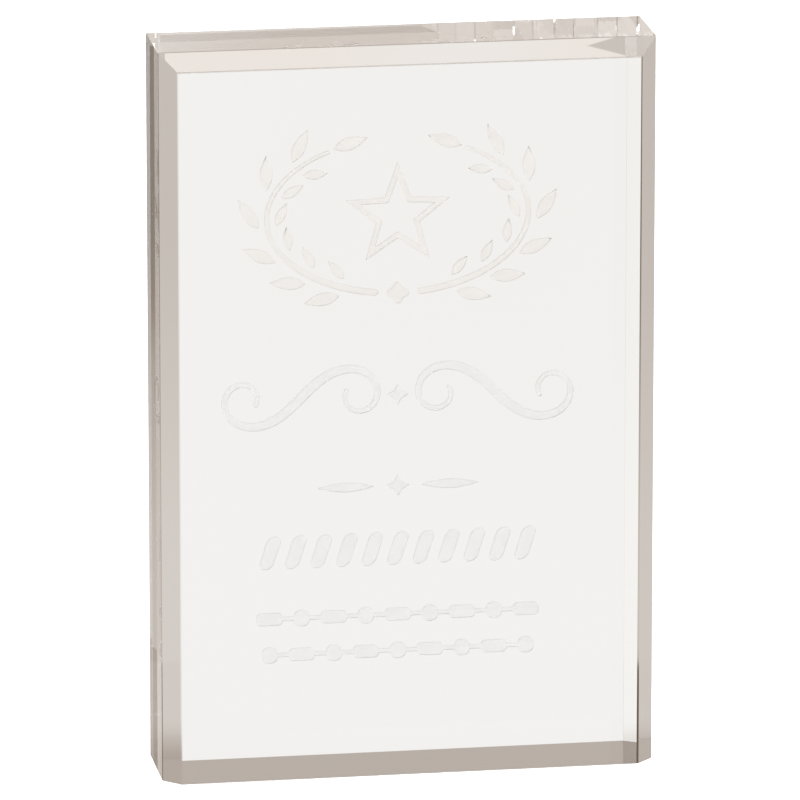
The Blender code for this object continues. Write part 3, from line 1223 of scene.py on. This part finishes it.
@dataclass
class CrystalSlab:
    """The crystal block: bevelled, with small flats along its edges, and lightly engraved from behind.

    Attributes:
        bevel: each bevel's leg.
        ridge: width of the small flat that breaks each front ridge.
        arris: width of the flat along the other edges.
        foot_wear: how much wider the right-hand front ridge is at its foot.
        etch: depth of each figure's recess in the rear face. The enamel lies under it, in the crystal.
        overrun: how far a carving tool stands out behind the slab.
        slack: how close to a plane a point counts as lying on it, where edges are told apart.
        recess_zone: how deep behind the rear face a recess's faces are looked for.
        square: the least share of a normal along one axis, on a face square to it.
        even: the greatest difference between a bevel's two slopes, as a share of its normal.
        upright: a recess's wall faces the rear less than this.
    """

    bevel: float = 3.5 * MM
    ridge: float = 0.28 * MM
    arris: float = 0.02 * MM
    foot_wear: float = 0.12 * MM
    etch: float = 0.05 * MM
    overrun: float = 1.0 * MM
    slack: float = 1.0 * MM
    recess_zone: float = 1.5 * MM
    square: float = 0.999
    even: float = 0.02
    upright: float = 0.5

    def is_ridge(self, a: Vector, b: Vector) -> bool:
        """Whether an edge is a ridge of the front face or of its bevels, above the foot."""
        return max(a.y, b.y) < 0 and max(a.z, b.z) > self.slack and abs(a.y - b.y) < self.slack

    def is_arris(self, a: Vector, b: Vector) -> bool:
        """Whether an edge is behind, at the foot, or runs from front to back."""
        return min(a.y, b.y) > 0 or max(a.z, b.z) < self.slack or abs(a.y - b.y) > self.slack

    def blank(self) -> bpy.types.Mesh:
        """Make the slab before it is engraved: bevelled beside and above both faces, with a flat base.

        Returns:
            A closed mesh.
        """
        low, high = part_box("crystal_block")
        levels = []
        for y, inset in (
            (low.y, self.bevel),
            (low.y + self.bevel, 0.0),
            (high.y - self.bevel, 0.0),
            (high.y, self.bevel),
        ):
            left, right, top = low.x + inset, high.x - inset, high.z - inset
            corners = [(left, low.z), (right, low.z), (right, top), (left, top)]
            levels.append((y, [Vector(corner) for corner in corners], None))
        bm = bmesh.new()
        bm.from_mesh(lofted("crystal_blank", levels))
        for width, belongs in ((self.ridge, self.is_ridge), (self.arris, self.is_arris)):
            edges = [edge for edge in bm.edges if belongs(edge.verts[0].co, edge.verts[1].co)]
            bmesh.ops.bevel(bm, geom=edges, offset=width, offset_type="WIDTH", segments=1, affect="EDGES")
        ridge_start = high.x - self.bevel - self.ridge
        for vert in bm.verts:
            in_front = vert.co.y <= low.y + self.ridge
            if vert.co.z > self.slack or not in_front or vert.co.x < ridge_start:
                continue
            in_face = abs(vert.co.y - low.y) < TOUCH
            step = Vector((-1.0, 0.0, 0.0)) if in_face else Vector((1.0, 1.0, 0.0)).normalized()
            vert.co += step * self.foot_wear
        mesh = bpy.data.meshes.new("crystal_blank")
        bm.to_mesh(mesh)
        bm.free()
        return mesh

    def cutter(self, figure: Figure, back: float) -> bpy.types.Mesh:
        """Make the tool that carves one figure into the rear face.

        Args:
            figure: the figure to carve.
            back: the depth of the slab's rear face.

        Returns:
            A closed mesh.
        """
        levels = [(y, figure.outline, figure.hole) for y in (back - self.etch, back + self.overrun)]
        return lofted(f"recess_{figure.node}", levels)

    def carved(self, figures: list[Figure]) -> bpy.types.Mesh:
        """Cut every figure's recess into the slab's rear face.

        Args:
            figures: every engraved figure.

        Returns:
            The carved slab's mesh.
        """
        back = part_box("crystal_block")[1].y
        tools = bpy.data.collections.new("carving_tools")
        bpy.context.scene.collection.children.link(tools)
        for figure in figures:
            tool = bpy.data.objects.new(f"recess_{figure.node}", self.cutter(figure, back))
            tools.objects.link(tool)
        blank = show("crystal_blank", self.blank())
        carve = blank.modifiers.new("carve", "BOOLEAN")
        carve.operation = "DIFFERENCE"
        carve.solver = "EXACT"
        carve.operand_type = "COLLECTION"
        carve.collection = tools
        mesh = plain_mesh(blank, "crystal_slab")
        for tool in list(tools.objects):
            bpy.data.objects.remove(tool)
        bpy.data.collections.remove(tools)
        return mesh

    def surface_of(self, centre: Vector, normal: Vector, high: Vector) -> Surface:
        """Tell which surface a face belongs to.

        Args:
            centre: the face's centre.
            normal: its normal.
            high: the slab's upper, right, rear corner.

        Returns:
            Carved for a recess's wall, polished for its floor, the main faces and the bevels, and
            ground for the small flats between them.
        """
        in_depth = high.y - self.recess_zone < centre.y < high.y - TOUCH
        in_width = abs(centre.x) < high.x - self.bevel - self.slack
        if in_depth and in_width and centre.z < high.z - 2 * self.bevel:
            return Surface.CARVED if abs(normal.y) < self.upright else Surface.POLISHED
        parts = sorted(abs(component) for component in normal)
        is_bevel = parts[0] < self.even and abs(parts[1] - parts[2]) < self.even
        return Surface.POLISHED if parts[2] > self.square or is_bevel else Surface.GROUND

    def dress(self, mesh: bpy.types.Mesh) -> None:
        """Give the slab its polished, ground and carved surfaces.

        Args:
            mesh: the carved slab, whose faces take their finish from where they are.
        """
        finishes = {
            Surface.POLISHED: CrystalFinish("clear_crystal"),
            Surface.GROUND: CrystalFinish("ground_arris", high=0.05, wave=4e-6, wave_scale=160.0),
            # The carved finish's dark tint is painted shade on the recess walls.
            Surface.CARVED: CarvedFinish(),
        }
        mesh.materials.clear()
        for surface in Surface:
            mesh.materials.append(finishes[surface].material())
        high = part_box("crystal_block")[1]
        for face in mesh.polygons:
            face.material_index = self.surface_of(face.center, face.normal, high).value

    def build(self, figures: list[Figure]) -> bpy.types.Object:
        """Make the finished slab.

        Args:
            figures: every engraved figure.

        Returns:
            The finished piece.
        """
        mesh = self.carved(figures)
        self.dress(mesh)
        piece = show("crystal_slab", mesh)
        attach(piece, ROOT)
        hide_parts("crystal_block")
        log.info("%s: %d faces", piece.name, len(mesh.polygons))
        return piece


# ---------------------------------------------------------------------------------------------
# Studio
# ---------------------------------------------------------------------------------------------


@dataclass
class LightTent:
    """The light round the award, as bands of brightness.

    An azimuth is in degrees, with 0 behind the award and positive to its right. A dip says how
    steeply one looks down, as a sine, and a height how steeply one looks up. A field of two dips,
    heights or brightnesses holds the values between which one thing gives way to the next.

    Attributes:
        far_table: brightness of the table's far part, by azimuth.
        mid_table: the same for the part nearer the award.
        near_table: the same for the nearest part.
        walls: brightness of the tent above the horizon, by azimuth.
        under: brightness below the award, by dip.
        softbox: brightness of the large light over the camera.
        rear_wall: brightness of the tent's open upper rear.
        ceiling: brightness of the roof.
        mid_dip: where the table's far part gives way to the middle one.
        near_dip: where the middle part gives way to the nearest.
        under_dip: where the nearest part gives way to what lies below.
        under_range: the dips between which the light below is given.
        wall_height: where the table gives way to the walls.
        roof_height: where the walls give way to the softbox and the upper rear.
        ceiling_height: where those give way to the roof.
        softbox_edge: how far forward the upper rear gives way to the softbox, as a sine.
        patch_azimuth: the middle of a darker patch on the far part of the table.
        patch_reach: how far the patch goes to either side.
        patch_dip: where the patch ends.
        patch_level: its brightness.
        gap_azimuth: the middle of the gap in the hem, a darker strip on the table's nearest part.
        gap_reach: how far the gap goes to either side.
        hem_dip: where the hem starts.
        hem_shade: how much darker the hem is.
        steep_dip: where the steepest part of the light below starts.
        wedge_azimuth: where a darker wedge in that part has its tip.
        wedge_dip: the dip of its tip.
        wedge_spread: how fast the wedge's edges move away from its tip, in degrees for a dip of 1.
        wedge_edge: how soft its edges are, in degrees.
        wedge_level: its brightness.
        left_azimuth: where the left side of that part ends.
        left_level: the left side's brightness.
        tint: how much green and blue fall with brightness, as powers.
        cream: how much more they fall where the light is cream.
        cream_dip: where the cream starts.
        cream_level: the brightness at which it starts.
        cream_azimuth: where it is weakest.
        cream_fade: how far from there it gets back its strength, in degrees.
        cream_least: its share there.
        front_azimuth: how far from the rear the warm front starts.
        warm_level: the brightness at which the warmth starts.
        warm_height: the height at which it ends.
        warmth: the share of green and blue that it takes away.
    """

    far_table: Stops = (
        (-180, 0.95), (-172, 0.50), (-130, 0.70), (-106, 0.88), (-78, 0.88), (-66, 0.50),
        (-50, 0.45), (-31, 0.90), (-22.3, 0.90), (-20.7, 0.54), (-13, 0.54), (-10, 0.10),
        (-2, 0.10), (1.5, 0.90), (16, 0.90), (22, 0.70), (27, 0.545), (42, 0.545), (48, 0.28), (62, 0.28),
        (90, 0.90), (104, 0.88), (112, 0.60), (120, 0.55), (134, 0.55), (145, 0.60),
        (166, 0.92), (170, 0.78), (170.8, 0.78), (171.5, 0.78), (172.2, 1.06), (180, 0.95),
    )
    mid_table: Stops = (
        (-180, 0.80), (-172, 0.60), (-160, 0.70), (-130, 0.70), (-106, 1.00), (-78, 1.00), (-66, 0.50),
        (-50, 0.45), (-38, 0.60), (-31, 0.91), (-22.3, 0.91), (-20.7, 0.61), (-13, 0.61), (-10, 0.53),
        (-2, 0.53), (1.5, 0.91), (16, 0.91), (22, 0.75), (27, 0.64), (42, 0.64), (48, 0.45), (62, 0.45),
        (75, 0.60), (90, 0.90), (104, 1.00), (112, 0.60), (120, 0.55), (134, 0.55), (145, 0.60),
        (170, 0.80), (180, 0.80),
    )
    near_table: Stops = (
        (-180, 0.80), (-172, 0.60), (-130, 0.70), (-106, 1.00), (-78, 1.00), (-66, 0.50),
        (-50, 0.45), (-31, 0.91), (-22.3, 0.91), (-20.7, 0.61), (-13, 0.61), (-10, 0.60),
        (-6, 0.60), (-4, 0.12), (-1, 0.12), (1.5, 0.91), (16, 0.91), (22, 0.74), (27, 0.62), (42, 0.62),
        (48, 0.15), (62, 0.15), (75, 0.45), (90, 0.90), (104, 1.00), (112, 0.50), (120, 0.01),
        (134, 0.01), (145, 0.50), (172, 0.80), (180, 0.80),
    )
    walls: Stops = (
        (-180, 0.90), (-172, 0.60), (-125, 0.60), (-106, 1.00), (-90, 1.00), (-60, 0.45), (-48, 0.45),
        (-35, 0.24), (-23, 0.24), (-20, 0.48), (-8, 0.48), (-5, 0.12), (-1, 0.12), (1.5, 0.465),
        (14, 0.465), (25, 0.44), (40, 0.435), (47, 0.13), (60, 0.13), (68, 0.45), (90, 0.50), (110, 0.30),
        (140, 0.28), (155, 0.60), (165, 0.90), (180, 0.90),
    )
    under: Stops = ((0.36, 0.50), (0.44, 0.50), (0.53, 0.85), (0.66, 0.85), (0.75, 0.60), (0.86, 0.42))
    softbox: float = 4.1
    rear_wall: float = 0.12
    ceiling: float = 0.95
    mid_dip: Span = (0.2346, 0.2745)
    near_dip: Span = (0.2799, 0.2804)
    under_dip: Span = (0.31, 0.40)
    under_range: Span = (0.3, 0.9)
    wall_height: Span = (-0.02, 0.02)
    roof_height: Span = (0.30, 0.40)
    ceiling_height: Span = (0.90, 0.95)
    softbox_edge: Span = (0.0, 0.30)
    patch_azimuth: float = 127.0
    patch_reach: float = 12.0
    patch_dip: Span = (0.2440, 0.2530)
    patch_level: float = 0.38
    gap_azimuth: float = 8.0
    gap_reach: float = 10.0
    hem_dip: Span = (0.2856, 0.2900)
    hem_shade: float = 0.35
    steep_dip: Span = (0.50, 0.56)
    wedge_azimuth: float = 12.55
    wedge_dip: float = 0.6050
    wedge_spread: float = 320.0
    wedge_edge: Span = (0.0, 0.05)
    wedge_level: float = 0.57
    left_azimuth: float = -20.0
    left_level: float = 0.60
    tint: Span = (0.16, 0.31)
    cream: Span = (0.30, 0.55)
    cream_dip: Span = (0.45, 0.55)
    cream_level: Span = (0.60, 0.80)
    cream_azimuth: float = 11.6
    cream_fade: Span = (0.1, 1.0)
    cream_least: float = 0.45
    front_azimuth: Span = (60.0, 75.0)
    warm_level: Span = (0.5, 0.8)
    warm_height: float = 0.30
    warmth: Span = (0.05, 0.09)

    def ramp(self, graph: Graph, place: Socket, stops: Stops, reach: Span) -> Socket:
        """Add a ramp of brightness.

        Args:
            graph: the world's graph.
            place: the azimuth or the dip that the ramp reads.
            stops: pairs of that value and a brightness.
            reach: the values at the ramp's start and end.

        Returns:
            The brightness's socket.
        """
        low, high = reach
        share = graph.add("ShaderNodeMapRange", Value=place, From_Min=low, From_Max=high)
        node = graph.add("ShaderNodeValToRGB", i0=share.outputs[0])
        elements = node.color_ramp.elements
        while len(elements) < len(stops):
            elements.new(0.5)
        for element, (value, level) in zip(elements, stops):
            element.position = (value - low) / (high - low)
            element.color = (level, level, level, 1.0)
        return graph.add("ShaderNodeSeparateColor", i0=node.outputs[0]).outputs[0]

    def under_light(self, graph: Graph, azimuth: Socket, dip: Socket) -> Socket:
        """Add the brightness below the award.

        Args:
            graph: the world's graph.
            azimuth: where one looks, in degrees.
            dip: how steeply one looks down, as a sine.

        Returns:
            The brightness's socket.
        """
        level = self.ramp(graph, dip, self.under, self.under_range)
        steep = graph.smooth_step(dip, *self.steep_dip)
        left = graph.math("LESS_THAN", azimuth, self.left_azimuth)
        level = graph.blend(graph.math("MULTIPLY", left, steep), level, self.left_level)
        apart = graph.distance(dip, self.wedge_dip)
        edge = graph.math("MULTIPLY_ADD", apart, self.wedge_spread, self.wedge_azimuth)
        wedge = graph.smooth_step(graph.math("SUBTRACT", azimuth, edge), *self.wedge_edge)
        return graph.blend(graph.math("MULTIPLY", wedge, steep), level, self.wedge_level)

    def table_light(self, graph: Graph, azimuth: Socket, dip: Socket) -> Socket:
        """Add the brightness of the table and of what lies below the award.

        Args:
            graph: the world's graph.
            azimuth: where one looks, in degrees.
            dip: how steeply one looks down, as a sine.

        Returns:
            The brightness's socket.
        """
        tables = (self.far_table, self.mid_table, self.near_table)
        far, mid, near = (self.ramp(graph, azimuth, stops, FULL_TURN) for stops in tables)
        level = graph.blend(graph.smooth_step(dip, *self.mid_dip), far, mid)
        level = graph.blend(graph.smooth_step(dip, *self.near_dip), level, near)
        aslant = graph.math("LESS_THAN", graph.distance(azimuth, self.patch_azimuth), self.patch_reach)
        beyond = graph.math("SUBTRACT", 1.0, graph.smooth_step(dip, *self.patch_dip))
        level = graph.blend(graph.math("MULTIPLY", aslant, beyond), level, self.patch_level)
        outside = graph.math("GREATER_THAN", graph.distance(azimuth, self.gap_azimuth), self.gap_reach)
        hem = graph.math("MULTIPLY", outside, graph.smooth_step(dip, *self.hem_dip))
        level = graph.math("MULTIPLY", level, graph.math("MULTIPLY_ADD", hem, -self.hem_shade, 1.0))
        under = self.under_light(graph, azimuth, dip)
        return graph.blend(graph.smooth_step(dip, *self.under_dip), level, under)

    def brightness(self, graph: Graph, azimuth: Socket, y: Socket, z: Socket) -> Socket:
        """Add the brightness in every direction.

        Args:
            graph: the world's graph.
            azimuth: where one looks, in degrees.
            y: the direction's share towards the rear.
            z: its share upwards.

        Returns:
            The brightness's socket.
        """
        level = self.table_light(graph, azimuth, graph.math("MULTIPLY", z, -1.0))
        walls = self.ramp(graph, azimuth, self.walls, FULL_TURN)
        level = graph.blend(graph.smooth_step(z, *self.wall_height), level, walls)
        forward = graph.smooth_step(graph.math("MULTIPLY", y, -1.0), *self.softbox_edge)
        roof = graph.blend(forward, self.rear_wall, self.softbox)
        level = graph.blend(graph.smooth_step(z, *self.roof_height), level, roof)
        return graph.blend(graph.smooth_step(z, *self.ceiling_height), level, self.ceiling)

    def coloured(self, graph: Graph, level: Socket, azimuth: Socket, z: Socket) -> Socket:
        """Give the brightness its colour: the darker it is, the warmer.

        Args:
            graph: the world's graph.
            level: the brightness.
            azimuth: where one looks, in degrees.
            z: the direction's share upwards.

        Returns:
            The colour's socket.
        """
        dip = graph.math("MULTIPLY", z, -1.0)
        lit = graph.smooth_step(level, *self.cream_level)
        cream = graph.math("MULTIPLY", graph.smooth_step(dip, *self.cream_dip), lit)
        apart = graph.smooth_step(graph.distance(azimuth, self.cream_azimuth), *self.cream_fade)
        cream = graph.math("MULTIPLY", cream, graph.blend(apart, self.cream_least, 1.0))
        front = graph.smooth_step(graph.math("ABSOLUTE", azimuth), *self.front_azimuth)
        warm = graph.math("MULTIPLY", front, graph.smooth_step(level, *self.warm_level))
        warm = graph.math("MULTIPLY", warm, graph.math("LESS_THAN", z, self.warm_height))
        shade = graph.math("MINIMUM", level, 1.0)
        channels = []
        for tint, extra, loss in zip(self.tint, self.cream, self.warmth):
            channel = graph.math("POWER", shade, graph.math("MULTIPLY_ADD", cream, extra, tint))
            channel = graph.math("MULTIPLY", channel, graph.math("MULTIPLY_ADD", warm, -loss, 1.0))
            channels.append(graph.math("MULTIPLY", level, channel))
        green, blue = channels
        return graph.add("ShaderNodeCombineColor", Red=level, Green=green, Blue=blue).outputs[0]

    def build(self) -> None:
        """Fill the world with the tent's light, plain white where the camera sees it directly."""
        world = bpy.data.worlds.new("light_tent")
        bpy.context.scene.world = world
        world.use_nodes = True
        world.node_tree.nodes.clear()
        graph = Graph(world.node_tree)
        way = graph.add("ShaderNodeSeparateXYZ", i0=graph.add("ShaderNodeTexCoord").outputs["Generated"])
        x, y, z = way.outputs
        azimuth = graph.math("MULTIPLY", graph.math("ARCTAN2", x, y), math.degrees(1.0))
        level = self.brightness(graph, azimuth, y, z)
        colour = self.coloured(graph, level, azimuth, z)
        lit = graph.add("ShaderNodeBackground", Color=colour, Strength=1.0)
        plain = graph.add("ShaderNodeBackground", Color=(1.0, 1.0, 1.0, 1.0), Strength=1.0)
        direct = graph.add("ShaderNodeLightPath").outputs["Is Camera Ray"]
        mixed = graph.add("ShaderNodeMixShader", i0=direct, i1=lit.outputs[0], i2=plain.outputs[0])
        graph.add("ShaderNodeOutputWorld", Surface=mixed.outputs[0])


@dataclass
class Studio:
    """A pale table, a light tent round it, and the camera.

    Attributes:
        azimuth: how far the camera stands to the left of the front, in degrees.
        elevation: how far it stands above the horizon, in degrees.
        distance: how far it stands from its aim.
        sight: how far it sees.
        lens: its focal length, in millimetres.
        aim: the point that it looks at.
        table_radius: the table's radius.
        table_sides: the number of the table's sides.
        table_drop: how far the table lies under the award.
        table_colour: the table's colour.
        table_roughness: its roughness.
        table_glow: how brightly it glows.
        bounces: how often light may bounce.
        tent: the light tent.
    """

    azimuth: float = 9.12
    elevation: float = 14.76
    distance: float = 2.017
    sight: float = 20.0
    lens: float = 444.7
    aim: tuple[float, float, float] = (-0.00015, 0.0, 0.07593)
    table_radius: float = 3.0
    table_sides: int = 96
    table_drop: float = 0.2 * MM
    table_colour: Colour = (0.9, 0.9, 0.9)
    table_roughness: float = 0.9
    table_glow: float = 0.5
    bounces: int = 64
    tent: LightTent = field(default_factory=LightTent)

    def floor(self) -> None:
        """Lay a wide pale table top just under the award."""
        bm = bmesh.new()
        bmesh.ops.create_circle(bm, cap_ends=True, segments=self.table_sides, radius=self.table_radius)
        mesh = bpy.data.meshes.new("table_top")
        bm.to_mesh(mesh)
        bm.free()
        top = show("table_top", mesh)
        top.location.z = -self.table_drop
        material, _, shader = empty_material("pale_table")
        shader.inputs["Base Color"].default_value = (*self.table_colour, 1.0)
        shader.inputs["Roughness"].default_value = self.table_roughness
        shader.inputs["Emission Color"].default_value = (1.0, 1.0, 1.0, 1.0)
        shader.inputs["Emission Strength"].default_value = self.table_glow
        mesh.materials.append(material)
        top.visible_transmission = False
        top.visible_glossy = False

    def camera(self) -> None:
        """Place the camera, aimed at the middle of the award."""
        data = bpy.data.cameras.new("studio_camera")
        data.lens = self.lens
        data.clip_end = self.sight
        item = bpy.data.objects.new("studio_camera", data)
        bpy.context.scene.collection.objects.link(item)
        tilt = Euler((math.radians(90.0 - self.elevation), 0.0, -math.radians(self.azimuth)), "XYZ")
        item.rotation_euler = tilt
        item.location = Vector(self.aim) + tilt.to_matrix() @ Vector((0.0, 0.0, self.distance))
        bpy.context.scene.camera = item

    def build(self) -> None:
        """Set up the tent, the table, the camera and the colour of the picture."""
        self.tent.build()
        self.floor()
        self.camera()
        scene = bpy.context.scene
        scene.view_settings.view_transform = "Standard"
        scene.cycles.max_bounces = self.bounces
        scene.cycles.transmission_bounces = self.bounces
        scene.cycles.glossy_bounces = self.bounces


def main() -> None:
    """Build the award and its studio."""
    logging.basicConfig(level=logging.INFO, format="%(message)s")
    Studio().build()
    warm = EnamelFinish(Tint.EMBLEM.value, light=(0.995, 0.980, 0.962), dark=(0.980, 0.963, 0.943))
    neutral = EnamelFinish(Tint.LETTER.value, light=(0.990, 0.993, 0.996), dark=(0.974, 0.977, 0.980))
    emblem, letters = warm.material(), neutral.material()
    figures = LaurelEmblem().figures(emblem)
    figures += ScrollTitle().figures()
    figures += SubtitleOrnament().figures()
    figures += NameRow().figures(letters)
    figures += MessageRules().figures()
    fill = EnamelFill(finishes={Tint.EMBLEM: emblem, Tint.LETTER: letters})
    for figure in figures:
        fill.build(figure)
    CrystalSlab().build(figures)


if __name__ == "__main__":
    main()
